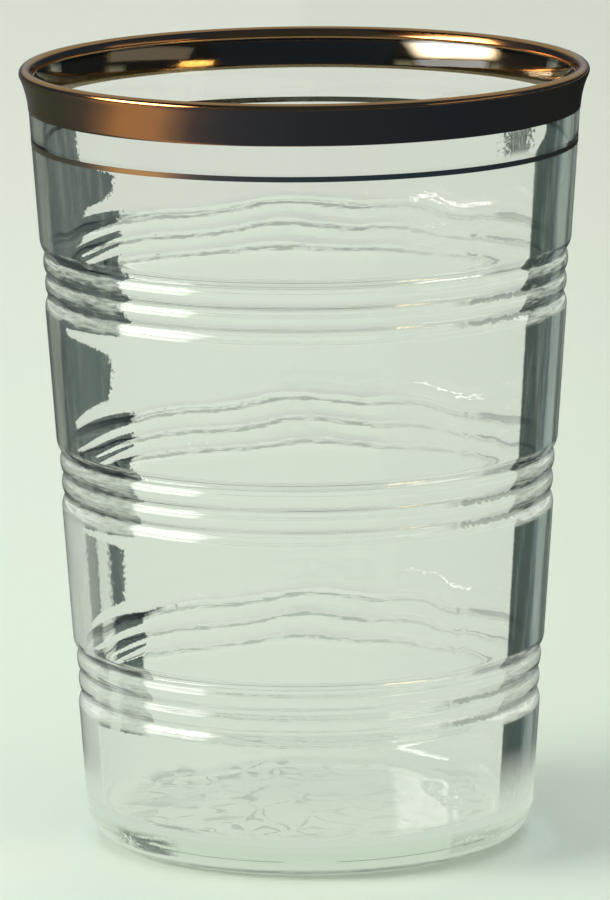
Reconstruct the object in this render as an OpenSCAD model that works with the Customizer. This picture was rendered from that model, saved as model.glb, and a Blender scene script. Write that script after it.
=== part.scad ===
// Chai glass: a tapered tumbler of clear glass, moulded with three groups of rings,
// with a fired gold band over the flared lip and a gold hairline below it.
// The origin is the centre of the ring that the glass stands on, and +Z points up.

/* [Body] */
// Height from the table to the top of the lip
glass_h = 91; // [82:0.5:110]
// Outer diameter over the crest of the lip
rim_d = 66; // [60:0.5:74]
// How far the crest of the lip stands out past the foot of the flare, on each side
flare_out = 1.05; // [0.7:0.05:2]
// Height of the flare under the lip
flare_h = 4.8; // [4:0.1:7]
// Outer diameter that the straight taper would reach at the table
foot_d = 51.8; // [46:0.1:56]

/* [Wall and base] */
// Thickness of the wall at the lip
lip_wall = 1.3; // [1:0.05:1.6]
// Thickness of the wall just above the base
foot_wall = 1.9; // [1.6:0.1:3]
// Thickness of the base, from the table to the inside floor
base_t = 3.8; // [3.5:0.1:8]
// Radius of the rounded heel
heel_r = 4.2; // [2:0.1:5]
// Radius of the inside corner between the floor and the wall
floor_corner_r = 2; // [1:0.1:5]
// Depth of the hollow under the base
push_up = 0.8; // [0.3:0.1:1.5]
// Width of the flat ring that the glass stands on
bearing_w = 2.6; // [1:0.1:5]

/* [Rings] */
// Number of ring groups up the wall
group_count = 3; // [1:1:4]
// Number of round ribs in each group
ribs_per_group = 2; // [1:1:3]
// Height of the middle of the lowest group
first_group_z = 19.95; // [16:0.05:22]
// Middle of the highest group, down from the top of the lip
top_group_drop = 24.05; // [20:0.05:26]
// Distance from one notch to the next
ring_pitch = 2.57; // [2:0.01:3.2]
// Depth of the notches beside the ribs
notch_depth = 0.6; // [0.4:0.05:0.75]
// How far the ribs stay below the smooth panels
rib_drop = 0.2; // [0.1:0.05:0.3]

/* [Gilding] */
// Height of the gold band, down from the top of the lip
band_h = 4.8; // [2:0.1:6]
// How far the gold reaches down inside the lip
band_inside_h = 1.2; // [0.9:0.1:3]
// Height of the middle of the gold hairline, down from the top of the lip
hairline_drop = 8.6; // [7.5:0.1:12]
// Width of the gold hairline
hairline_w = 0.62; // [0.3:0.02:1.5]
// Thickness given to the gold film
film_t = 0.1; // [0.05:0.01:0.15]

/* [Hidden] */
$fn = 180;
// The cutters run past the faces they open by this much
overrun = 2;

// The straight taper of the outside, from the table to the foot of the flare
neck_z = glass_h - flare_h;
neck_d = rim_d - 2 * flare_out;
taper = (neck_d - foot_d) / 2 / neck_z;
taper_angle = atan(taper);

function outside_r(z) = foot_d / 2 + taper * z;

// The point that lies under the straight outside at height z, at a depth along its normal
function under_wall(z, depth) =
    [outside_r(z) - depth * cos(taper_angle), z + depth * sin(taper_angle)];

// The lip is a round bead, and the flare is one arc that leaves the taper
// without a corner and meets the bead without a corner
lip_r = lip_wall / 2;
lip_centre = [rim_d / 2 - lip_r, glass_h - lip_r];
neck_to_lip = lip_centre - under_wall(neck_z, 0);
wall_normal = [cos(taper_angle), -sin(taper_angle)];
flare_r = (neck_to_lip * neck_to_lip - lip_r * lip_r) / 2 / (lip_r + wall_normal * neck_to_lip);
flare_centre = under_wall(neck_z, -flare_r);
// The flare lies between the normal at the neck and the line through the bead's centre
bead_line = (lip_centre - flare_centre) / norm(lip_centre - flare_centre);

// A rib is the arc that spans one pitch and rises from the notch depth to its crest
rib_rise = notch_depth - rib_drop;
rib_r = (ring_pitch * ring_pitch / 4 + rib_rise * rib_rise) / 2 / rib_rise;
// The panels end in the same arc, which takes this length to sink to the notch depth
panel_end_h = sqrt(2 * rib_r * notch_depth - notch_depth * notch_depth);
group_half_h = ribs_per_group * ring_pitch / 2 + panel_end_h;
// The groups between the lowest and the highest are spaced evenly
group_steps = max(group_count - 1, 1);
group_spacing = (glass_h - top_group_drop - first_group_z) / group_steps;

// The heel arc touches the table and the taper
heel_z = heel_r * (1 - sin(taper_angle));
heel_centre = under_wall(heel_z, heel_r);
bearing_in_r = heel_centre[0] - bearing_w;
push_up_r = (bearing_in_r * bearing_in_r + push_up * push_up) / 2 / push_up;

// The straight inside of the wall, from the floor to the foot of the flare
neck_inside = under_wall(neck_z, lip_wall);
foot_inside = [outside_r(base_t) - foot_wall, base_t];
inside_taper = (neck_inside[0] - foot_inside[0]) / (neck_inside[1] - base_t);
inside_angle = atan(inside_taper);
corner_centre = [
    foot_inside[0] + floor_corner_r * (inside_taper - 1 / cos(inside_angle)),
    base_t + floor_corner_r
];
// Where the corner arc leaves the straight inside
corner_top = corner_centre + floor_corner_r * [cos(inside_angle), -sin(inside_angle)];

band_z = glass_h - band_h;
hairline_z = glass_h - hairline_drop;

function group_z(group) = first_group_z + group * group_spacing;

// A round spot in the profile
module dot(centre, radius) {
    translate(centre) circle(r = radius);
}

// The outside between two heights, from a depth under its surface to the axis
module taper_core(z_low, z_high, depth) {
    low = under_wall(z_low, depth);
    high = under_wall(z_high, depth);
    inner = under_wall(z_high, lip_wall);
    polygon([[0, low[1]], low, high, inner, [0, inner[1]]]);
}

// The rings of one group: the round ribs and the round ends of the panels beside them
module ring_group(middle_z) {
    for (rib = [0 : ribs_per_group - 1])
        dot(under_wall(middle_z + (rib - (ribs_per_group - 1) / 2) * ring_pitch, rib_drop + rib_r),
            rib_r);
    for (side = [-1, 1])
        dot(under_wall(middle_z + side * group_half_h, rib_r), rib_r);
}

// The smooth panels, below, between and above the groups
module panels() {
    for (panel = [0 : group_count]) {
        low = panel == 0 ? heel_z : group_z(panel - 1) + group_half_h;
        high = panel == group_count ? neck_z : group_z(panel) - group_half_h;
        taper_core(low, high, 0);
    }
}

// The flared wall and the bead of the lip, grown by a skin on both sides
module flare(skin) {
    intersection() {
        difference() {
            dot(flare_centre, flare_r + lip_wall + skin);
            dot(flare_centre, flare_r - skin);
        }
        polygon([
            flare_centre,
            lip_centre + (lip_wall + overrun) * bead_line,
            under_wall(neck_z, lip_wall + overrun)
        ]);
    }
    dot(lip_centre, lip_r + skin);
}

// Everything that the outside encloses, from the table to the neck
module outside() {
    taper_core(heel_z, neck_z, notch_depth);
    panels();
    for (group = [0 : group_count - 1]) ring_group(group_z(group));
    dot(heel_centre, heel_r);
    square(heel_centre);
}

// The hollow inside, from the floor to the neck
module inside() {
    polygon([
        [0, base_t],
        [corner_centre[0], base_t],
        corner_centre,
        corner_top,
        neck_inside,
        neck_inside + [0, overrun],
        [0, neck_inside[1] + overrun]
    ]);
    dot(corner_centre, floor_corner_r);
}

// The shallow hollow under the base, which leaves the bearing ring
module underside() {
    intersection() {
        dot([0, push_up - push_up_r], push_up_r);
        translate([0, -overrun]) square([bearing_in_r + overrun, push_up + overrun]);
    }
}

// Half of the section through the glass
module glass_profile() {
    difference() {
        outside();
        inside();
        underside();
    }
    flare(0);
}

// Where the gold lies: the outside down to the band's edge, the bead, and a little way inside
module gilded_zone() {
    polygon([
        under_wall(band_z, lip_wall / 2),
        lip_centre,
        [rim_d, lip_centre[1]],
        [rim_d, band_z]
    ]);
    translate(lip_centre - [lip_wall, 0]) square([2 * lip_wall, lip_wall]);
    translate([lip_centre[0] - lip_wall, glass_h - band_inside_h])
        square([lip_wall, band_inside_h - lip_r]);
}

module glass_tumbler() {
    color([0.78, 0.88, 0.84, 0.35])
        rotate_extrude() glass_profile();
}

// The fired gold over the lip
module rim_gilding() {
    color([0.79, 0.58, 0.32])
        rotate_extrude()
            difference() {
                intersection() {
                    union() {
                        flare(film_t);
                        taper_core(heel_z, neck_z, -film_t);
                    }
                    gilded_zone();
                }
                glass_profile();
            }
}

// The fired gold hairline round the outside, below the band
module hairline_gilding() {
    low_z = hairline_z - hairline_w / 2;
    high_z = hairline_z + hairline_w / 2;
    color([0.72, 0.5, 0.28])
        rotate_extrude()
            polygon([
                under_wall(low_z, 0),
                under_wall(low_z, -film_t),
                under_wall(high_z, -film_t),
                under_wall(high_z, 0)
            ]);
}

glass_tumbler();
rim_gilding();
hairline_gilding();
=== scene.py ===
import math
from types import SimpleNamespace

import bpy
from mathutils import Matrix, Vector, noise


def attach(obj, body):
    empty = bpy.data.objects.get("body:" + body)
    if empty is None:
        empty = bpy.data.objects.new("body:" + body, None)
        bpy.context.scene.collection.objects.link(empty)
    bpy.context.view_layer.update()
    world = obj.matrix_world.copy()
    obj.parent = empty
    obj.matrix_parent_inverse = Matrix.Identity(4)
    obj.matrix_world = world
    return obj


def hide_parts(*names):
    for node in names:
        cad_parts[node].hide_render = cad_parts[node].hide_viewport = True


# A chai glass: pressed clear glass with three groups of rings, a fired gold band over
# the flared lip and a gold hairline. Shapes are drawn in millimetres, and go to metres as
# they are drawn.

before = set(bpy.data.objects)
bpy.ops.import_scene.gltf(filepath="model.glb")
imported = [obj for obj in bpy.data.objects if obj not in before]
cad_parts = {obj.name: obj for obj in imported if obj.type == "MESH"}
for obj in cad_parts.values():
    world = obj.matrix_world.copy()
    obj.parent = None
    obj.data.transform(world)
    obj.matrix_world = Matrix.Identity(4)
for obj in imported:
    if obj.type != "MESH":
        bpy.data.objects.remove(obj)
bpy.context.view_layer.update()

MM = 0.001

# The tone of the backdrop, where glass and gold mirror it
PAPER_TONE = "DAE5D4"
# The height that the cards face, near the middle of the glass, in metres
AIM_Z = 0.045
# The camera, in metres and degrees: a long lens, which looks down a little
CAMERA_PLACE = (-0.000266, -0.9575, 0.2254)
CAMERA_DOWN = 10.635
CAMERA_ROLL = 0.479
LENS = 333.9
# The apron round the glass, from its foot to its outer edge, in metres, and its tones in
# satin gold once round it
APRON_IN_R = 0.029
APRON_OUT_R = 2.945
APRON_TONES = (
    (0.0, "6F797C"), (0.06, "59697C"), (0.11, "486179"), (0.17, "445F81"), (0.215, "50658E"),
    (0.245, "8189A2"), (0.275, "BCB6B3"), (0.325, "B8B5BF"), (0.345, "8B93AF"), (0.37, "506599"),
    (0.41, "3B5593"), (0.50, "2D4A7E"), (0.68, "243D73"), (0.86, "273A59"), (0.93, "222D38"),
    (1.0, "30383F"))


# ---------------------------------------------------------------- profile, in mm

GLASS_H = 91
RIM_R = 33
FLARE_OUT = 1.05
FLARE_H = 4.8
FOOT_R = 25.9
LIP_WALL = 1.3
FOOT_WALL = 1.9
BASE_T = 3.8
HEEL_R = 4.2
FLOOR_CORNER_R = 2
PUSH_UP = 0.8
BEARING_W = 2.6
GROUPS = (19.95, 43.45, 66.95)
SPACING = GROUPS[1] - GROUPS[0]
PITCH = 2.57
NOTCH = 0.6
RIB_DROP = 0.2
BAND_INSIDE_H = 1.2
HAIRLINE_Z = GLASS_H - 8.6
HAIRLINE_W = 0.62
FILM = 0.06

NECK_Z = GLASS_H - FLARE_H
TAPER = (RIM_R - FLARE_OUT - FOOT_R) / NECK_Z
TAPER_ANGLE = math.atan(TAPER)


def under_wall(z, depth):
    """The point under the straight outside at height z, at a depth along its normal."""
    return (FOOT_R + TAPER * z - depth * math.cos(TAPER_ANGLE),
            z + depth * math.sin(TAPER_ANGLE))


def arc(centre, radius, start, end, steps):
    """Points of an arc in the section; angles in degrees, 0 outwards and 90 up."""
    turn = [math.radians(start + (end - start) * i / steps) for i in range(steps + 1)]
    return [(centre[0] + radius * math.cos(a), centre[1] + radius * math.sin(a)) for a in turn]


def straight(start, end, steps):
    """Points of a straight run, its two ends included."""
    return [(start[0] + (end[0] - start[0]) * i / steps,
             start[1] + (end[1] - start[1]) * i / steps) for i in range(steps + 1)]


def angle_from(centre, point):
    return math.degrees(math.atan2(point[1] - centre[1], point[0] - centre[0]))


TILT = math.degrees(TAPER_ANGLE)
RIB_RISE = NOTCH - RIB_DROP
RIB_R = (PITCH ** 2 / 4 + RIB_RISE ** 2) / 2 / RIB_RISE
END_H = math.sqrt(2 * RIB_R * NOTCH - NOTCH ** 2)
GROUP_HALF_H = PITCH + END_H
LIP_R = LIP_WALL / 2
LIP_CENTRE = (RIM_R - LIP_R, GLASS_H - LIP_R)
NECK = under_wall(NECK_Z, 0)
TO_LIP = (LIP_CENTRE[0] - NECK[0], LIP_CENTRE[1] - NECK[1])
NORMAL = (math.cos(TAPER_ANGLE), -math.sin(TAPER_ANGLE))
FLARE_R = ((TO_LIP[0] ** 2 + TO_LIP[1] ** 2 - LIP_R ** 2) / 2
           / (LIP_R + NORMAL[0] * TO_LIP[0] + NORMAL[1] * TO_LIP[1]))
FLARE_CENTRE = under_wall(NECK_Z, -FLARE_R)
NECK_TURN = angle_from(FLARE_CENTRE, NECK) % 360
LIP_TURN = angle_from(FLARE_CENTRE, LIP_CENTRE) % 360
HEEL_Z = HEEL_R * (1 - math.sin(TAPER_ANGLE))
HEEL_CENTRE = under_wall(HEEL_Z, HEEL_R)
BEARING_IN_R = HEEL_CENTRE[0] - BEARING_W
PUSH_UP_R = (BEARING_IN_R ** 2 + PUSH_UP ** 2) / 2 / PUSH_UP
NECK_INSIDE = under_wall(NECK_Z, LIP_WALL)
FOOT_INSIDE = (FOOT_R + TAPER * BASE_T - FOOT_WALL, BASE_T)
INSIDE_TAPER = (NECK_INSIDE[0] - FOOT_INSIDE[0]) / (NECK_INSIDE[1] - BASE_T)
INSIDE_ANGLE = math.atan(INSIDE_TAPER)
CORNER_CENTRE = (FOOT_INSIDE[0] + FLOOR_CORNER_R * (INSIDE_TAPER - 1 / math.cos(INSIDE_ANGLE)),
                 BASE_T + FLOOR_CORNER_R)


def panel(low, high, steps):
    """The straight outside of a panel, with short runs at its ends to keep it flat."""
    a, b = under_wall(low, 0), under_wall(high, 0)
    return [a] + straight(under_wall(low + 0.4, 0), under_wall(high - 0.4, 0), steps) + [b]


def ring_group(middle):
    """The outside of one group: panel end, rib, rib, panel end, with soft notches."""
    half_rib = math.degrees(math.asin(PITCH / 2 / RIB_R))
    half_end = math.degrees(math.acos(1 - NOTCH / RIB_R))
    soft = 5
    points = arc(under_wall(middle - GROUP_HALF_H, RIB_R), RIB_R,
                 -TILT, -TILT + half_end - soft, 6)
    for side in (-0.5, 0.5):
        points += arc(under_wall(middle + side * PITCH, RIB_DROP + RIB_R), RIB_R,
                      -TILT - half_rib + soft, -TILT + half_rib - soft, 9)
    points += arc(under_wall(middle + GROUP_HALF_H, RIB_R), RIB_R,
                  -TILT - half_end + soft, -TILT, 6)
    return points


def outside_section():
    """The outside of the glass from the heel to the foot of the flare."""
    points = arc(HEEL_CENTRE, HEEL_R, -90, -TILT, 14)
    low = HEEL_Z
    for middle in GROUPS:
        points += panel(low, middle - GROUP_HALF_H, 4)[1:-1]
        points += ring_group(middle)
        low = middle + GROUP_HALF_H
    return points + panel(low, NECK_Z, 4)[1:]


def glass_section():
    """Half of the section through the glass, from the axis underneath to the axis inside."""
    hollow = math.degrees(math.asin(BEARING_IN_R / PUSH_UP_R))
    under = arc((0, PUSH_UP - PUSH_UP_R), PUSH_UP_R, 90, 90 - hollow, 12)
    ring = [(BEARING_IN_R + 0.3, 0), (HEEL_CENTRE[0] - 0.4, 0)]
    flare_out = arc(FLARE_CENTRE, FLARE_R, NECK_TURN, LIP_TURN, 8)[1:]
    bead = arc(LIP_CENTRE, LIP_R, LIP_TURN - 180, LIP_TURN, 12)[1:]
    flare_in = arc(FLARE_CENTRE, FLARE_R + LIP_WALL, LIP_TURN, NECK_TURN, 8)[1:]
    corner = arc(CORNER_CENTRE, FLOOR_CORNER_R, -math.degrees(INSIDE_ANGLE), -90, 10)
    wall = straight(NECK_INSIDE, corner[0], 56)[1:-1]
    floor = straight(corner[-1], (0, BASE_T), 20)[1:]
    return under + ring + outside_section() + flare_out + bead + flare_in + wall + corner + floor


# ---------------------------------------------------------------- nodes

SOFT = {"interpolation_type": "SMOOTHSTEP"}


def hex_colour(code):
    """An sRGB hex colour as linear RGBA."""
    channels = [int(code[i:i + 2], 16) / 255 for i in (0, 2, 4)]
    linear = [c / 12.92 if c <= 0.04045 else ((c + 0.055) / 1.055) ** 2.4 for c in channels]
    return (*linear, 1)


def node_adder(tree):
    """Empties a node tree, and gives the function that adds a node to it with its settings.
    Its inputs are in order or by name, as values, or as what feeds them: a socket, or a node
    for its first output."""
    tree.nodes.clear()

    def add(kind, inputs=(), **settings):
        new = tree.nodes.new("ShaderNode" + kind)
        for name, value in settings.items():
            setattr(new, name, value)
        for name, value in inputs.items() if isinstance(inputs, dict) else enumerate(inputs):
            if isinstance(value, bpy.types.Node):
                value = value.outputs[0]
            if isinstance(value, bpy.types.NodeSocket):
                tree.links.new(value, new.inputs[name])
            else:
                new.inputs[name].default_value = value
        return new

    return add


def new_material(name):
    """A material, and the function that adds a node to it."""
    material = bpy.data.materials.new(name)
    material.use_nodes = True
    return material, node_adder(material.node_tree)


def place_stops(ramp, stops):
    """Sets the stops of a colour ramp, given as places and colours."""
    ramp.elements[0].position, ramp.elements[0].color = stops[0]
    ramp.elements[1].position, ramp.elements[1].color = stops[-1]
    for position, colour in stops[1:-1]:
        ramp.elements.new(position).color = colour


def product(add, *shares):
    """Several shares multiplied together."""
    total = shares[0]
    for share in shares[1:]:
        total = add("Math", (total, share), operation="MULTIPLY")
    return total


def grains(add, place, scale, size, detail):
    """A pattern of grains of a size in mm, stretched by a scale."""
    stretched = add("Mapping", {"Vector": place, "Scale": scale})
    return add("TexNoise", {
        "Vector": stretched, "Scale": 1 / (size * MM), "Detail": detail}).outputs["Fac"]


# ---------------------------------------------------------------- painted shade on the glass

# Where painted shade starts on the left of the wall, in degrees round the glass from its
# front: patches on the smooth panels, by height in mm, and slanted stripes that each ring
# group draws above itself, by height over the middle of the group
PAINTED_PATCHES = (
    (0, 68), (30.7, 68), (31.3, 51), (34, 50), (38.0, 50), (38.5, 68), (54.5, 68), (54.9, 52),
    (56.4, 50.5), (58.8, 49.5), (60.6, 50.5), (61.2, 58), (61.6, 68), (73.4, 68), (74.4, 57),
    (77.7, 56), (78.1, 49), (79.5, 45.5), (81.7, 45), (82.2, 52), (82.8, 56.5), (91, 56.5))
PAINTED_STRIPES = (
    (-11.75, 68), (-4.4, 68), (-4.1, 45.5), (4.1, 45), (4.5, 56), (5.0, 57), (5.15, 44),
    (5.5, 44), (5.7, 58), (6.0, 58), (6.15, 44), (7.0, 44), (7.25, 64), (7.9, 67), (8.1, 44.5),
    (9.8, 43.5), (10.1, 66), (11.75, 68))
# Where the right of it starts, below the hairline and above it
RIGHT_START = 58
HIGH_RIGHT_START = 62
# How much of the left's painted shade the two lowest panels keep, by the wall's turn: all of
# it at the front, an island, and a column
KEPT_LOW = ((0.0, 1.0), (0.425, 1.0), (0.45, 0.2), (0.50, 0.2), (0.515, 0.9), (0.585, 0.8),
            (0.605, 0.25), (1.0, 0.3))
# The painted shade's colours by the wall's turn, with paler painted strips among them
PAINTED_LEFT_TONES = (
    (0.0, "272E32"), (0.36, "2C3438"), (0.46, "363E3F"), (0.60, "30373A"), (0.68, "22292C"),
    (0.71, "565B57"), (0.80, "74786F"), (0.86, "4A504C"), (0.90, "3A403E"), (0.95, "787C74"))
PAINTED_RIGHT_TONES = (
    (0.0, "272E32"), (0.43, "2E3838"), (0.47, "1B2422"), (0.60, "1A2426"), (0.645, "37444A"),
    (0.69, "7C8A8C"), (0.76, "8C9894"), (0.79, "4A5452"), (0.83, "2A3230"), (0.87, "8A948C"),
    (0.95, "9AA297"))
PAINTED_RING_TONE = "8E9A8E"
# The angles above hold for a view that looks down by this many degrees, and that sees the
# sides turned by this many
VIEW_TILT = 10.6
VIEW_SHIFT = 1.2


def turned_away(degrees):
    """How far the wall has turned from the eye at an angle round the glass, from 0 to 1."""
    return 1 - (math.cos(math.radians(degrees - VIEW_SHIFT))
                * math.cos(math.radians(VIEW_TILT)))


def wall_facts(add, place):
    """What the painted shade goes by: where a point lies, how it faces, and the noises that
    break it up."""
    at = add("SeparateXYZ", [place])
    shape = add("NewGeometry")
    normal = add("SeparateXYZ", [shape.outputs["Normal"]])

    # The turn of the wall round the axis alone, so that an edge runs straight over the rings
    level = add("CombineXYZ", (normal.outputs["X"], normal.outputs["Y"]))
    level = add("VectorMath", [level], operation="NORMALIZE")
    facing = add("LayerWeight", {"Blend": 0.5, "Normal": level}).outputs["Facing"]
    # and the same from a high view as from a low one
    upwards = add("CombineXYZ", {"Z": 1.0})
    slope = add("LayerWeight", {"Blend": 0.5, "Normal": upwards}).outputs["Facing"]
    slope = add("Math", (1.0, slope), operation="SUBTRACT")
    length = add("Math", (slope, slope), operation="MULTIPLY")
    length = add("Math", (1.0001, length), operation="SUBTRACT")
    length = add("Math", [length], operation="SQRT")
    turn = add("Math", (1.0, facing), operation="SUBTRACT")
    turn = add("Math", (turn, length), operation="DIVIDE")
    turn = add("Math", (turn, -math.cos(math.radians(VIEW_TILT)), 1.0), operation="MULTIPLY_ADD")

    # How far above the lowest group a point lies, and above the middle of the nearest one
    above = add("Math", (at.outputs["Z"], GROUPS[0] * MM), operation="SUBTRACT")
    ring = add("Math", (above, SPACING / 2 * MM, -SPACING / 2 * MM), operation="WRAP")
    rings = add("Math", [ring], operation="ABSOLUTE")
    rings = add("MapRange", (rings, 4.2 * MM, 3.7 * MM), **SOFT)

    # The outside, down to a little under the deepest notch
    reach = add("CombineXYZ", (at.outputs["X"], at.outputs["Y"]))
    reach = add("VectorMath", [reach], operation="LENGTH").outputs["Value"]
    skin = add("Math", (at.outputs["Z"], TAPER, (FOOT_R - 0.9) * MM), operation="MULTIPLY_ADD")

    def unevenness(scale, size, detail):
        return add("Math", (grains(add, place, scale, size, detail), 0.5), operation="SUBTRACT")

    return SimpleNamespace(
        x=at.outputs["X"], y=at.outputs["Y"], z=at.outputs["Z"], lift=normal.outputs["Z"],
        turn=turn, above=above, ring=ring, rings=rings,
        # Above zero on the flanks of the rings that face up, and below it on the others
        flank=add("Math", (normal.outputs["Z"], rings), operation="MULTIPLY"),
        left=add("MapRange", (at.outputs["X"], 6 * MM, -6 * MM), **SOFT),
        within=shape.outputs["Backfacing"],
        outside=add("Math", (reach, skin), operation="GREATER_THAN"),
        # Noises that break up the painted shade: upright teeth and streaks, crumbs, scratches
        # along the rings, fine and coarse, and soft clouds
        tooth=unevenness((1, 1, 0.2), 0.22, 3.0), streak=unevenness((1, 1, 0.05), 1.3, 4.0),
        crumb=unevenness((1, 1, 1), 0.5, 4.0), scratch=unevenness((1, 1, 7), 2.4, 4.0),
        furrow=unevenness((1, 1, 9), 4.0, 4.0), cloud=unevenness((1, 1.3, 1), 7.0, 2.0))


def listed_start(add, height, places):
    """The turn at a height, straight from each listed place to the next."""
    low, high = places[0][0], places[-1][0]
    share = add("Math", (height, low * MM), operation="SUBTRACT")
    share = add("Math", (share, (high - low) * MM), operation="DIVIDE")
    curve = add("FloatCurve", {"Value": share})
    spots = [((z - low) / (high - low), turned_away(degrees)) for z, degrees in places]
    points = curve.mapping.curves[0].points
    points[0].location, points[-1].location = spots[0], spots[-1]
    for spot in spots[1:-1]:
        points.new(*spot)
    for point in points:
        point.handle_type = "VECTOR"
    curve.mapping.update()
    return curve


def painted_left_start(add, wall):
    """The turn at which the painted shade on the left starts: at the patches or the stripes."""
    # The stripes lean up to the right above a ring group, and the patches lie level below one
    phase = add("Math", (wall.above, math.tau / (SPACING * MM)), operation="MULTIPLY")
    wave = add("Math", [phase], operation="SINE")
    wave = add("Math", (wave, 1.0), operation="ADD")
    forward = add("Math", (wall.y, -1.0), operation="MULTIPLY")
    around = add("Math", (wall.x, forward), operation="ARCTAN2")
    around = add("Math", (around, math.radians(-75)), operation="MAXIMUM")
    around = add("Math", (around, math.radians(-30)), operation="MINIMUM")
    around = add("Math", (around, math.radians(50)), operation="ADD")
    lean = product(add, wave, math.degrees(0.11 * MM), around)
    height = add("Math", (wall.z, lean), operation="SUBTRACT")

    # Teeth bite into their edges, deepest above a group
    bite = add("Math", (phase, math.radians(50)), operation="SUBTRACT")
    bite = add("Math", [bite], operation="COSINE")
    bite = add("Math", (bite, -1.0 * MM, 0.3 * MM), operation="MULTIPLY_ADD")
    bite = add("Math", (bite, 0.35 * MM), operation="MAXIMUM")
    height = add("Math", (wall.tooth, bite, height), operation="MULTIPLY_ADD")

    offset = add("Math", (height, GROUPS[0] * MM), operation="SUBTRACT")
    offset = add("Math", (offset, SPACING / 2 * MM, -SPACING / 2 * MM), operation="WRAP")
    return add("Math", (listed_start(add, height, PAINTED_PATCHES), listed_start(add, offset, PAINTED_STRIPES)),
               operation="MINIMUM")


def painted_side_shade(add, wall):
    """Painted shade at both sides of the standing wall."""
    high = add("MapRange", (wall.z, 82.7 * MM, 85.5 * MM), **SOFT)
    right = add("Math", (wall.crumb, 0.012, turned_away(RIGHT_START)), operation="MULTIPLY_ADD")
    right = add("Math", (high, turned_away(HIGH_RIGHT_START) - turned_away(RIGHT_START), right),
                operation="MULTIPLY_ADD")
    start = add("Mix", {0: wall.left, 2: right, 3: painted_left_start(add, wall)}, data_type="FLOAT")
    # Over the rings it gathers on the flanks that face down
    start = add("Math", (wall.flank, 0.06, start), operation="MULTIPLY_ADD")
    ragged = product(add, wall.crumb, wall.left, 0.06)
    ragged = add("Math", (wall.turn, ragged), operation="ADD")
    dark = add("Math", (ragged, start), operation="SUBTRACT")
    dark = add("MapRange", (dark, 0.0, 0.014), **SOFT)

    # A rough island of it under the gold, before the dark of the right side
    rugged = add("Math", (wall.crumb, 0.15, wall.turn), operation="MULTIPLY_ADD")
    island = product(
        add, add("MapRange", (rugged, turned_away(46.5), turned_away(49)), **SOFT),
        add("MapRange", (rugged, turned_away(57.5), turned_away(56)), **SOFT),
        add("MapRange", (wall.z, 82.9 * MM, 84.0 * MM), **SOFT),
        add("Math", (1.0, wall.left), operation="SUBTRACT"),
        add("Math", (wall.tooth, 0.7, 0.93), operation="MULTIPLY_ADD"))
    dark = add("Math", (dark, island), operation="MAXIMUM")

    # It fades out towards the base, and only an upright wall has it
    lift = add("Math", [wall.lift], operation="ABSOLUTE")
    dark = product(add, dark, add("MapRange", (wall.z, 4 * MM, 13 * MM), **SOFT),
                   add("MapRange", (lift, 0.85, 0.6), **SOFT))
    kept = add("ValToRGB", {"Fac": ragged})
    place_stops(kept.color_ramp, [(turn, (part, part, part, 1)) for turn, part in KEPT_LOW])
    lost = product(add, add("Math", (1.0, kept), operation="SUBTRACT"), wall.left,
                   add("MapRange", (wall.z, 40.5 * MM, 38.5 * MM), **SOFT))
    kept = add("Math", (1.0, lost), operation="SUBTRACT")
    return add("Math", (dark, kept), operation="MULTIPLY")


def painted_notch_lines(add, wall):
    """A dark line of painted shade along each notch: whole on the far wall, seen from within the
    glass, and in crumbs on the right of the near wall."""
    notch = add("Math", (wall.ring, PITCH / 2 * MM), operation="PINGPONG")
    far_line = product(add, add("MapRange", (notch, 0.30 * MM, 0.10 * MM), **SOFT),
                       add("MapRange", (wall.scratch, -0.14, 0.04, 0.25, 1.0), **SOFT), 0.75)
    crumbs = add("Math", (wall.crumb, 0.9 * MM, notch), operation="MULTIPLY_ADD")
    near_line = product(
        add, add("MapRange", (crumbs, 0.36 * MM, 0.22 * MM), **SOFT), 0.75,
        add("MapRange", (wall.turn, turned_away(34), turned_away(42)), **SOFT),
        add("MapRange", (wall.x, 5 * MM, 8 * MM), **SOFT),
        add("MapRange", (wall.ring, 1.6 * MM, 1.0 * MM), **SOFT))
    line = add("Mix", {0: wall.within, 2: near_line, 3: far_line}, data_type="FLOAT")
    off = add("Math", [wall.ring], operation="ABSOLUTE")
    beside = add("Math", (off, 3.2 * MM), operation="LESS_THAN")
    return add("Math", (line, beside), operation="MULTIPLY")


def painted_heel_shade(add, wall):
    """A thin dark outline of painted shadow low on the heel, where the glass meets its own
    shadow, and streaky crescents of painted shade above it, where the heel turns away on both
    sides."""
    outline = product(add, add("MapRange", (wall.z, 1.35 * MM, 0.8 * MM), **SOFT),
                      add("Math", (wall.scratch, 0.78), operation="ADD"),
                      add("MapRange", (wall.lift, -0.95, -0.84), **SOFT))
    streaks = add("Math", (wall.crumb, 0.4, wall.furrow), operation="MULTIPLY_ADD")
    crescent = product(
        add, add("MapRange", (wall.z, 4.5 * MM, 3.3 * MM), **SOFT),
        add("MapRange", (wall.z, 1.4 * MM, 1.9 * MM), **SOFT),
        add("MapRange", (wall.turn, turned_away(36), turned_away(44)), **SOFT),
        add("MapRange", (wall.turn, turned_away(66), turned_away(57)), **SOFT),
        add("MapRange", (streaks, -0.12, 0.03), **SOFT),
        add("Math", (wall.left, 0.6, 0.35), operation="MULTIPLY_ADD"))
    heel = add("Math", (outline, crescent), operation="MAXIMUM")
    outer = add("Math", (1.0, wall.within), operation="SUBTRACT")
    return add("Math", (heel, outer), operation="MULTIPLY")


def painted_floor_blotches(add, wall):
    """Dim blotches of painted shade on the inside of the floor, on its left and front."""
    off = add("Math", (wall.z, BASE_T * MM), operation="SUBTRACT")
    off = add("Math", [off], operation="ABSOLUTE")
    return product(add, add("MapRange", (off, 1.2 * MM, 0.6 * MM), **SOFT),
                   add("Math", (1.0, wall.outside), operation="SUBTRACT"),
                   add("MapRange", (wall.cloud, 0.0, 0.12), **SOFT),
                   add("MapRange", (wall.x, -5 * MM, -12 * MM, 0.0, 0.75), **SOFT),
                   add("MapRange", (wall.y, 4 * MM, -5 * MM), **SOFT))


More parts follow.
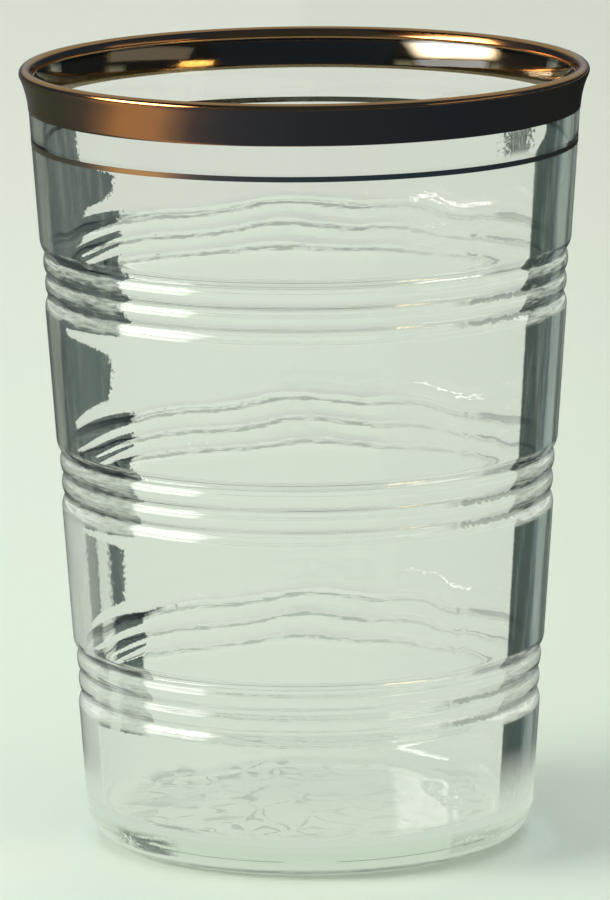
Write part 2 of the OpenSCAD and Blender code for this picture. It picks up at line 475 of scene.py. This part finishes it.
def painted_dark_edges(add, place):
    """Painted shade in the clear glass where its wall turns away, and along the notches, in
    place of the dark that glass takes on a bright field: the share of it, and its tone."""
    wall = wall_facts(add, place)
    # On the rings it thins out on the flanks that face up, and from group to group downwards
    thin = add("Math", (wall.z, -0.0115 / MM, 0.92), operation="MULTIPLY_ADD")
    thin = add("Math", (wall.flank, 0.7, thin), operation="MULTIPLY_ADD")
    thin = add("Math", (wall.scratch, 1.6, thin), operation="MULTIPLY_ADD", use_clamp=True)
    thin = add("Math", (thin, wall.rings), operation="MULTIPLY")
    kept = add("Math", (thin, -0.8, 1.0), operation="MULTIPLY_ADD")
    share = add("Math", (painted_side_shade(add, wall), kept), operation="MULTIPLY")
    share = add("Math", (share, painted_notch_lines(add, wall)), operation="MAXIMUM")
    share = add("Math", (share, wall.outside), operation="MULTIPLY")
    share = add("Math", (share, painted_heel_shade(add, wall)), operation="MAXIMUM")
    share = add("Math", (share, painted_floor_blotches(add, wall)), operation="MAXIMUM")

    # The painted shade is darkest in the middle, with a paler painted strip before the rim of
    # the glass, all in upright streaks, and greener over the rings
    tones = []
    for stops, spread in ((PAINTED_RIGHT_TONES, 0.16), (PAINTED_LEFT_TONES, 0.14)):
        turn = add("Math", (wall.streak, spread, wall.turn), operation="MULTIPLY_ADD")
        tones.append(add("ValToRGB", {"Fac": turn}))
        place_stops(tones[-1].color_ramp, [(spot, hex_colour(code)) for spot, code in stops])
    tone = add("Mix", {0: wall.left, 6: tones[0], 7: tones[1]}, data_type="RGBA").outputs[2]
    green = add("Math", (thin, 0.7), operation="MULTIPLY")
    green = add("Math", (wall.streak, 0.7, green), operation="MULTIPLY_ADD")
    tone = add("Mix", {0: green, 6: tone, 7: hex_colour(PAINTED_RING_TONE)}, data_type="RGBA").outputs[2]
    return share, tone


def painted_room_glow(add, place):
    """Painted light: where the glass glows with the room's own tone in place of what it bends
    and mirrors: the share of it, and the tone."""
    at = add("SeparateXYZ", [place])
    way = add("LightPath")
    # The thick base, after the first bounce in it,
    bounced = add("Math", (way.outputs["Glossy Depth"], 0.8), operation="MINIMUM")
    # where a view grazes its floor and underside,
    slant = add("LayerWeight", {"Blend": 0.5})
    grazing = add("MapRange", (slant.outputs["Facing"], 0.35, 0.6, 0.0, 0.85), **SOFT)
    low = add("Math", (at.outputs["Z"], (BASE_T + 0.3) * MM), operation="LESS_THAN")
    grazing = add("Math", (grazing, low), operation="MULTIPLY")
    # and where it runs straight through to the far heel
    straight_on = add("Math", (way.outputs["Transmission Depth"], 1.5), operation="LESS_THAN")
    low = add("Math", (at.outputs["Z"], (BASE_T - 0.15) * MM), operation="LESS_THAN")
    straight_on = add("Math", (straight_on, low), operation="MULTIPLY")
    base = add("MapRange", (at.outputs["Z"], 7 * MM, 4 * MM), **SOFT)
    share = add("Math", (grazing, straight_on), operation="MAXIMUM")
    share = add("Math", (share, bounced), operation="MAXIMUM")
    share = add("Math", (share, base), operation="MULTIPLY")
    # The far wall's right side is painted pale, in place of light from the open side of the room
    # running through it
    far_side = add("MapRange", (at.outputs["X"], 6 * MM, 14 * MM, 0.0, 0.55), **SOFT)
    through = add("Math", (way.outputs["Transmission Depth"], 2.5), operation="GREATER_THAN")
    far_side = add("Math", (far_side, through), operation="MULTIPLY")
    share = add("Math", (share, far_side), operation="MAXIMUM")
    leaving = add("NewGeometry").outputs["Backfacing"]
    share = add("Math", (share, leaving), operation="MULTIPLY")
    tone = add("Mix", {0: base, 6: hex_colour("D2DBCC"), 7: hex_colour("CBD7C7")},
               data_type="RGBA")
    return share, tone.outputs[2]


# ---------------------------------------------------------------- materials

def pressed_soda_lime_glass():
    # Soda-lime glass, pressed in an iron mould: clear, with the faint green of its iron
    # where a view runs through a long way of it. Its skin keeps fine ripples from the
    # mould. Shade is painted into its colour where the wall turns away, for the dark that
    # glass shows there on a bright field.
    material, add = new_material("pressed_soda_lime_glass")
    place = add("TexCoord").outputs["Object"]
    ripples = add("Bump", {"Height": grains(add, place, (1, 1, 5), 2.5, 1.0),
                           "Strength": 1.0, "Distance": 0.002 * MM})
    # Painted shade at the edges, notches, heel and floor, mixed into the glass's colour
    share, painted_edge_tone = painted_dark_edges(add, place)
    tone = add("Mix", {0: share, 6: hex_colour("FFFFFF"), 7: painted_edge_tone}, data_type="RGBA")
    # Painted light: where a view has bounced on and on inside the wall, the glass glows with the
    # room's own tone
    way = add("LightPath")
    trapped = add("MapRange", (way.outputs["Glossy Depth"], 3.0, 4.0, 0.0, 0.52))
    glass = add("BsdfPrincipled", {
        "Base Color": tone.outputs[2], "Roughness": 0.0, "IOR": 1.52,
        "Transmission Weight": 1.0, "Normal": ripples,
        "Emission Color": hex_colour("EAF1E5"), "Emission Strength": trapped})
    # Painted light: the glass glows with the room's tone in its base, at grazing views and on the
    # far wall's right side
    filled, painted_glow_tone = painted_room_glow(add, place)
    pale = add("Emission", {"Color": painted_glow_tone})
    body = add("VolumeAbsorption", {"Color": hex_colour("6FCE69"), "Density": 2.6})
    add("OutputMaterial", {
        "Surface": add("MixShader", (filled, glass, pale)), "Volume": body})
    return material


def fired_bright_gold(name, colour, satin_min, satin_max):
    # Bright gold, painted on and fired at 600 degrees: a mirror-like film, a little
    # satin where the brush ran round the lip.
    material, add = new_material(name)
    brush = grains(add, add("TexCoord").outputs["Object"], (1, 1, 14), 6, 4.0)
    gold = add("BsdfPrincipled", {
        "Base Color": hex_colour(colour), "Metallic": 1.0, "Specular Tint": hex_colour("F9EACE"),
        "Roughness": add("MapRange", (brush, 0.3, 0.7, satin_min, satin_max))})
    add("OutputMaterial", {"Surface": gold})
    return material


def backdrop_paper():
    # Pale, slightly glossy backdrop paper. Its colour is darker near the camera, and towards
    # the softbox: painted shade where the light is strong.
    material, add = new_material("studio_paper")
    at = add("SeparateXYZ", [add("TexCoord").outputs["Object"]])
    far = add("MapRange", (at.outputs["Y"], 0.0, 0.65), **SOFT)
    painted_shade_tone = add("Mix", {0: far, 6: hex_colour("DAE8D7"), 7: hex_colour("E5EBDD")}, data_type="RGBA")
    beside = add("MapRange", (at.outputs["X"], -0.12, -0.8, 0.0, 0.85), **SOFT)
    painted_shade_tone = add("Mix", {0: beside, 6: painted_shade_tone.outputs[2], 7: hex_colour("6E766C")}, data_type="RGBA")
    paper = add("BsdfPrincipled", {
        "Base Color": painted_shade_tone.outputs[2], "Roughness": 0.35, "Specular IOR Level": 0.15})
    # Seen through the glass, the paper keeps its own tone: bent light fills the shadow there
    filled = add("Math", (add("LightPath").outputs["Is Transmission Ray"], 0.8),
                 operation="MULTIPLY")
    behind = add("MapRange", (at.outputs["Y"], 0.33, 0.5), **SOFT)
    tone = add("Mix", {0: behind, 6: hex_colour("D7E1D1"), 7: hex_colour("D4DACE")},
               data_type="RGBA")
    own = add("Emission", {"Color": tone.outputs[2]})
    add("OutputMaterial", {"Surface": add("MixShader", (filled, paper, own))})
    return material


def card_felt(name, colour):
    # The flat finish of a studio card, lit evenly, so it shows one tone.
    material, add = new_material(name)
    add("OutputMaterial", {"Surface": add("Emission", {"Color": hex_colour(colour)})})
    return material


def apron_cloth():
    # Dark cloth with the lit paper showing on the left, in two tones: one for the satin gold,
    # which mirrors it cool, and one for the clear glass, which also mirrors the pale paper
    # close to its foot and beyond the cloth.
    material, add = new_material("apron_cloth")
    place = add("TexCoord").outputs["Object"]
    turned = add("Mapping", {"Vector": place, "Rotation": (0, 0, math.radians(90))})
    around = add("TexGradient", {"Vector": turned}, gradient_type="RADIAL").outputs["Fac"]
    satin = add("ValToRGB", {"Fac": around})
    place_stops(satin.color_ramp, [(share, hex_colour(code)) for share, code in APRON_TONES])
    reach = add("VectorMath", [place], operation="LENGTH").outputs["Value"]
    far = add("Math", (reach, 0.945), operation="GREATER_THAN")
    close = add("MapRange", (reach, 0.055, 0.030), **SOFT)
    lit = add("Math", (far, close), operation="MAXIMUM")
    clear = add("Mix", {0: lit, 6: hex_colour("3C4248"), 7: hex_colour(PAPER_TONE)},
                data_type="RGBA")
    sharp = add("LightPath").outputs["Is Singular Ray"]
    tone = add("Mix", {0: sharp, 6: satin, 7: clear.outputs[2]}, data_type="RGBA")
    add("OutputMaterial", {"Surface": add("Emission", {"Color": tone.outputs[2]})})
    return material


def dark_drape():
    # The dark side of the room, which light trapped in the glass doesn't meet.
    material, add = new_material("dark_drape")
    deep = add("Math", (add("LightPath").outputs["Glossy Depth"], 1.5), operation="GREATER_THAN")
    tone = add("Mix", {0: deep, 6: hex_colour("35465D"), 7: hex_colour("A0AA9E")},
               data_type="RGBA")
    add("OutputMaterial", {"Surface": add("Emission", {"Color": tone.outputs[2]})})
    return material


def soft_sheet(add, margin):
    """How much a card glows: fully in its middle, and fading to nothing at its edges."""
    sides = add("SeparateXYZ", [add("TexCoord").outputs["UV"]])
    glows = []
    for side in (sides.outputs["X"], sides.outputs["Y"]):
        inwards = add("Math", (1.0, side), operation="SUBTRACT")
        inwards = add("Math", (inwards, side), operation="MULTIPLY")
        glows.append(add("MapRange", (inwards, 0.0, margin), **SOFT))
    return add("Math", glows, operation="MULTIPLY")


def softbox_silk():
    # White silk over lamps, bright in its middle and soft at its edges.
    material, add = new_material("softbox_silk")
    glow = add("Math", (soft_sheet(add, 0.25), 17.0), operation="MULTIPLY")
    add("OutputMaterial", {
        "Surface": add("Emission", {"Color": hex_colour("FFFDF8"), "Strength": glow})})
    return material


def reflector_sheet():
    # The lit sheet round the softbox, which only the polished glass mirrors, on its ribs.
    material, add = new_material("reflector_sheet")
    way = add("LightPath")
    glow = product(add, way.outputs["Is Glossy Ray"], way.outputs["Is Singular Ray"],
                   soft_sheet(add, 0.14), 6.5)
    add("OutputMaterial", {
        "Surface": add("Emission", {"Color": hex_colour("FFFDF8"), "Strength": glow})})
    return material


def crumpled_foil():
    # Golden foil with bright creases, which glints only in the gold seen through the glass.
    material, add = new_material("crumpled_foil")
    creases = add("TexNoise", {
        "Vector": add("TexCoord").outputs["UV"], "Scale": 9.0, "Detail": 3.0})
    facets = add("MapRange", (creases.outputs["Fac"], 0.42, 0.58), **SOFT)
    way = add("LightPath")
    once = add("Math", (way.outputs["Glossy Depth"], way.outputs["Is Transmission Ray"]),
               operation="MINIMUM")
    shallow = add("Math", (way.outputs["Transmission Depth"], 2.5), operation="LESS_THAN")
    glow = product(add, facets, once, shallow, soft_sheet(add, 0.12), 20.0)
    add("OutputMaterial", {
        "Surface": add("Emission", {"Color": hex_colour("FFD58A"), "Strength": glow})})
    return material


# ---------------------------------------------------------------- modelling

def draw_section(name, points):
    """A line through the points of a section, drawn from one vertex by extruding it."""
    bpy.ops.object.select_all(action="DESELECT")
    bpy.ops.mesh.primitive_plane_add(size=MM, location=(0, 0, 0))
    line = bpy.context.object
    line.name = line.data.name = name
    bpy.ops.object.mode_set(mode="EDIT")
    bpy.ops.mesh.select_all(action="SELECT")
    bpy.ops.mesh.merge(type="CENTER")
    at = (0, 0)
    for index, (x, z) in enumerate(points):
        step = ((x - at[0]) * MM, 0, (z - at[1]) * MM)
        if index == 0:
            bpy.ops.transform.translate(value=step)
        else:
            bpy.ops.mesh.extrude_region_move(TRANSFORM_OT_translate={"value": step})
        at = (x, z)
    return line


def spin_round(line):
    """Turns the section once round the axis and closes it."""
    bpy.ops.mesh.select_all(action="SELECT")
    bpy.ops.mesh.spin(steps=ROUND_STEPS, angle=math.tau, center=(0, 0, 0), axis=(0, 0, 1))
    bpy.ops.mesh.select_all(action="SELECT")
    bpy.ops.mesh.remove_doubles(threshold=0.002 * MM)
    bpy.ops.mesh.normals_make_consistent(inside=False)
    bpy.ops.object.mode_set(mode="OBJECT")
    bpy.ops.object.shade_smooth()
    return line


# How much thicker the wall gets upwards in the middle of a panel, by the angle round the
# glass from its front: the plunger left it uneven
WALL_LEAN = ((-180, 0.012), (-165, -0.016), (-148, 0.010), (-136, 0.024), (-122, -0.012),
             (-108, 0.014), (-92, -0.018), (-76, 0.012), (-62, -0.010), (-52, 0.016),
             (-43.9, 0.026), (-40, 0.0135), (-30, 0.0105), (-21.8, 0.0197), (-16.8, 0.0156),
             (-11.9, 0.005), (-7, -0.0125), (-3.5, -0.0195), (1.3, -0.0166), (7.3, -0.004),
             (14.5, 0.007), (18.9, -0.005), (23.4, -0.0104), (27.3, -0.007), (30, 0.001),
             (32.8, 0.0166), (36, 0.027), (40.2, 0.028), (45, 0.0156), (54.3, -0.0156),
             (66, 0.012), (80, -0.014), (96, 0.016), (112, -0.012), (128, 0.018), (144, -0.014),
             (160, 0.016), (180, 0.012))
# The two mould seams, in degrees round the glass from its front
SEAMS = (38.5, -141.5)
SEAM_H = 0.05
FLOOR_WAVE = 0.03
FLOOR_WAVE_W = 5.5
# Steps once round the axis
ROUND_STEPS = 336


def smooth_step(value, low, high):
    share = min(max((value - low) / (high - low), 0), 1)
    return share * share * (3 - 2 * share)


def wall_lean(angle):
    """The lean of the inside at an angle, eased between the listed places."""
    for (a, lean_a), (b, lean_b) in zip(WALL_LEAN, WALL_LEAN[1:]):
        if a <= angle <= b:
            return lean_a + (lean_b - lean_a) * smooth_step(angle, a, b)
    return 0


def press_marks(tumbler):
    """Moves the points: waves on the inside of the wall, fine seams on the outside, and an
    uneven inside of the floor."""
    for point in tumbler.data.vertices:
        r, z = math.hypot(point.co.x, point.co.y) / MM, point.co.z / MM
        if r < 1:
            continue
        angle = math.degrees(math.atan2(point.co.x, -point.co.y))
        depth = (FOOT_R + TAPER * z - r) * math.cos(TAPER_ANGLE)
        moved = 0
        if 0.9 < depth < 2.6 and CORNER_CENTRE[1] < z < NECK_Z:
            wave = math.sin(math.tau * (z - GROUPS[2] - SPACING / 2) / SPACING)
            wave *= SPACING / math.tau
            fade = smooth_step(z, 8, 16) * (1 - smooth_step(z, 80, 86))
            moved = -wall_lean(angle + 4 * math.sin(z / 9)) * wave * fade
        elif depth < 0.9 and 2 < z < 78:
            for seam in SEAMS:
                off = abs((angle - seam + 180) % 360 - 180) / (360 / ROUND_STEPS)
                moved += SEAM_H * max(1 - off, 0)
        point.co.x *= (r + moved) / r
        point.co.y *= (r + moved) / r
        if BASE_T - 0.1 < z < BASE_T + FLOOR_CORNER_R and depth > 1.5:
            still = smooth_step(r, 24, 20) if r > 20 else 1
            wave = noise.noise(point.co / (FLOOR_WAVE_W * MM))
            point.co.z += still * FLOOR_WAVE * MM * wave


def glass_tumbler():
    tumbler = spin_round(draw_section("pressed_tumbler", glass_section()))
    press_marks(tumbler)
    tumbler.data.materials.append(pressed_soda_lime_glass())
    return tumbler


def rim_gilding():
    """The fired gold: up the outside of the flare, over the bead and a little way inside."""
    outer = arc(FLARE_CENTRE, FLARE_R - FILM, NECK_TURN, LIP_TURN, 12)
    bead = arc(LIP_CENTRE, LIP_R + FILM, LIP_TURN - 180, LIP_TURN, 16)
    inside_end = 180 - math.degrees(math.asin((GLASS_H - BAND_INSIDE_H - FLARE_CENTRE[1])
                                              / (FLARE_R + LIP_WALL)))
    inner = arc(FLARE_CENTRE, FLARE_R + LIP_WALL + FILM, LIP_TURN, inside_end - 0.4, 2)
    under_inner = arc(FLARE_CENTRE, FLARE_R + LIP_WALL - FILM, inside_end, LIP_TURN, 2)
    under_bead = arc(LIP_CENTRE, LIP_R - FILM, LIP_TURN, LIP_TURN - 180, 16)
    under_outer = arc(FLARE_CENTRE, FLARE_R + FILM, LIP_TURN, NECK_TURN, 12)
    edge_in = arc(FLARE_CENTRE, FLARE_R + LIP_WALL, inside_end - 0.1, inside_end, 1)
    points = outer + bead + inner + edge_in + under_inner + under_bead + under_outer + outer[:1]
    gold = spin_round(draw_section("fired_gold_band", points))
    gold.data.materials.append(fired_bright_gold("fired_bright_gold", "D2955A", 0.10, 0.18))
    # The gold under the glass is a darker, greyer copy of the same gold: painted shade
    gold.data.materials.append(fired_bright_gold("fired_gold_under_glass_painted_dark", "7A6A50", 0.05, 0.09))
    for face in gold.data.polygons:
        r, z = math.hypot(face.center.x, face.center.y) / MM, face.center.z / MM
        to_bead = math.hypot(r - LIP_CENTRE[0], z - LIP_CENTRE[1])
        to_flare = math.hypot(r - FLARE_CENTRE[0], z - FLARE_CENTRE[1])
        off_bead = to_bead > LIP_R + 2 * FILM
        under = abs(to_flare - FLARE_R - LIP_R) < LIP_R if off_bead else to_bead < LIP_R
        inner_side = to_flare > FLARE_R + LIP_R and off_bead
        film_end = z < NECK[1] + 0.02 or (inner_side and z < GLASS_H - BAND_INSIDE_H + 0.1)
        face.material_index = 1 if under or film_end else 0
    return gold


def hairline_gilding():
    """The gold hairline, a thin ring with its inner side just inside the glass."""
    low, high = HAIRLINE_Z - HAIRLINE_W / 2, HAIRLINE_Z + HAIRLINE_W / 2
    corners = [under_wall(low, FILM / 2), under_wall(low, -FILM / 2),
               under_wall(high, -FILM / 2), under_wall(high, FILM / 2)]
    line = spin_round(draw_section("fired_gold_hairline", corners + corners[:1]))
    bpy.ops.object.shade_smooth_by_angle(angle=math.radians(25))
    line.data.materials.append(fired_bright_gold("fired_gold_hairline", "EBB878", 0.12, 0.20))
    # Its side under the glass is a much darker copy of the gold: painted shade
    line.data.materials.append(fired_bright_gold("hairline_under_glass_painted_dark", "4A4638", 0.08, 0.14))
    for face in line.data.polygons:
        r, z = math.hypot(face.center.x, face.center.y) / MM, face.center.z / MM
        face.material_index = 1 if r < FOOT_R + TAPER * z else 0
    return line


# ---------------------------------------------------------------- studio

def towards(azimuth, elevation, distance):
    """A place by its azimuth (0 = +X, 270 = the camera's side), elevation and distance."""
    a, e = math.radians(azimuth), math.radians(elevation)
    return (distance * math.cos(a) * math.cos(e), distance * math.sin(a) * math.cos(e),
            distance * math.sin(e) + AIM_Z)


def only_in_gloss(flag):
    """A studio card that only polished surfaces show."""
    flag.visible_camera = flag.visible_diffuse = flag.visible_transmission = False
    flag.visible_shadow = flag.visible_volume_scatter = False


def apron_flag():
    """The dark apron round the glass, open on the left, which the gold mirrors."""
    flag = draw_section("apron_flag", ((APRON_IN_R / MM, 1), (APRON_OUT_R / MM, 1)))
    bpy.ops.mesh.select_all(action="SELECT")
    bpy.ops.mesh.spin(steps=96, angle=math.tau, center=(0, 0, 0), axis=(0, 0, 1))
    bpy.ops.object.mode_set(mode="OBJECT")
    flag.data.materials.append(apron_cloth())
    only_in_gloss(flag)


def standing_card(name, place, size, material):
    """A card that faces the glass and that only glass and metal show."""
    bpy.ops.object.select_all(action="DESELECT")
    bpy.ops.mesh.primitive_plane_add(size=1, location=place)
    card = bpy.context.object
    card.name = card.data.name = name
    card.scale = (*size, 1)
    to_glass = Vector((0, 0, AIM_Z)) - card.location
    card.rotation_euler = to_glass.to_track_quat("-Z", "Y").to_euler()
    card.data.materials.append(material)
    only_in_gloss(card)
    card.visible_transmission = True
    return card


def studio_floor():
    """The paper sweep that the glass stands on, just under its ring."""
    bpy.ops.object.select_all(action="DESELECT")
    bpy.ops.mesh.primitive_circle_add(vertices=96, radius=8, fill_type="NGON",
                                      location=(0, 0, -0.05 * MM))
    floor = bpy.context.object
    floor.name = "studio_floor"
    floor.data.materials.append(backdrop_paper())


def sine(degrees):
    return math.sin(math.radians(degrees))


def studio_room():
    """The room: even light on everything, the paper's own tone behind, and a dark ceiling
    for what glass and metal mirror and bend."""
    world = bpy.data.worlds.new("studio_room")
    bpy.context.scene.world = world
    world.use_nodes = True
    add = node_adder(world.node_tree)
    towards_room = add("SeparateXYZ", [add("TexCoord").outputs["Generated"]])
    east, north, up = (towards_room.outputs[axis] for axis in "XYZ")
    seen = add("LightPath").outputs

    # The ceiling goes dark from lower down through both walls of the glass, and in gloss
    walls = add("Math", (seen["Transmission Depth"], 2.5), operation="GREATER_THAN")
    start = add("Mix", {0: walls, 2: sine(50), 3: sine(4)}, data_type="FLOAT")
    start = add("Mix", {0: seen["Is Glossy Ray"], 2: start, 3: sine(6)}, data_type="FLOAT")
    fade = add("Mix", {0: walls, 2: 0.08, 3: 0.22}, data_type="FLOAT")
    above = add("MapRange", (up, start, add("Math", (start, fade), operation="ADD")))

    # Above the floor, dark flags stand between the eight open ways
    swing = add("Math", (north, east), operation="ARCTAN2")
    swing = add("Math", (swing, 4.0), operation="MULTIPLY")
    swing = add("Math", [swing], operation="SINE")
    swing = add("Math", [swing], operation="ABSOLUTE")
    flags = add("MapRange", (swing, sine(4 * 4), sine(4 * 5.5)))
    risen = add("MapRange", (up, 0.0, sine(2)))
    flags = add("Math", (flags, risen), operation="MULTIPLY")
    dark = add("Math", (above, flags), operation="MAXIMUM")
    # Light that bounced inside the glass, or ran through both walls, meets none of the dark
    bounced = add("Math", (seen["Glossy Depth"], seen["Is Glossy Ray"]), operation="SUBTRACT")
    bounced = add("Math", (bounced, walls), operation="ADD")
    direct = add("Math", (bounced, 0.5), operation="LESS_THAN")
    dark = add("Math", (dark, direct), operation="MULTIPLY")

    # Satin gold mirrors the dark cool, with a lighter ceiling right above
    satin = add("Math", (seen["Is Glossy Ray"], seen["Is Singular Ray"]), operation="SUBTRACT")
    overhead = add("Math", (north, 0.9, up), operation="MULTIPLY_ADD")
    overhead = add("MapRange", (overhead, 0.90, 1.06))
    ceiling = add("Mix", {0: overhead, 6: hex_colour("294273"), 7: hex_colour("A6BCD7")},
                  data_type="RGBA")
    unlit = add("Mix", {0: satin, 6: hex_colour("30383F"), 7: ceiling.outputs[2]},
                data_type="RGBA")
    dark = add("Math", (dark, satin), operation="MAXIMUM")
    pale = hex_colour(PAPER_TONE)
    mirrored = add("Mix", {0: dark, 6: pale, 7: unlit.outputs[2]}, data_type="RGBA")
    behind = add("Mix", {0: seen["Is Camera Ray"], 6: mirrored.outputs[2], 7: pale},
                 data_type="RGBA")
    lit = add("Mix", {0: seen["Diffuse Depth"], 6: behind.outputs[2], 7: hex_colour("FAFAF9")},
              data_type="RGBA")
    add("OutputWorld", {"Surface": add("Background", {"Color": lit.outputs[2]})})


def studio():
    studio_floor()
    studio_room()
    # The softbox on the left, and the lit sheet round it
    softbox = standing_card("key_softbox", towards(198, 25, 1.08), (0.95, 0.46), softbox_silk())
    softbox.visible_diffuse = True
    sheet = standing_card("reflector_sheet", towards(200, 26, 1.12), (0.9, 1.5), reflector_sheet())
    sheet.visible_transmission = False
    # A small crumpled foil, low on the right, which glints in the gold at the back
    standing_card("crumpled_foil", towards(318, 10, 1.2), (0.36, 0.14), crumpled_foil())
    apron_flag()
    standing_card("fill_card", towards(344, 22, 1.2), (0.9, 0.27),
                  card_felt("dim_card", "BCBCB8"))
    standing_card("dark_room", towards(270, 32, 2.6), (4.0, 2.9), dark_drape())


def camera():
    data = bpy.data.cameras.new("camera")
    data.sensor_width = 36
    data.lens = LENS
    data.clip_start, data.clip_end = 0.05, 30
    view = bpy.data.objects.new("camera", data)
    bpy.context.collection.objects.link(view)
    view.location = CAMERA_PLACE
    view.rotation_mode = "ZXY"
    view.rotation_euler = (math.radians(90 - CAMERA_DOWN), 0, math.radians(-CAMERA_ROLL))
    bpy.context.scene.camera = view


# ---------------------------------------------------------------- the scene

camera()
studio()
bpy.context.scene.view_settings.view_transform = "Standard"

for piece, node, finish in ((glass_tumbler(), "glass_tumbler", "clear_glass"),
                            (rim_gilding(), "rim_gilding", "fired_gold"),
                            (hairline_gilding(), "hairline_gilding", "fired_gold")):
    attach(piece, "root")
    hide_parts(node)
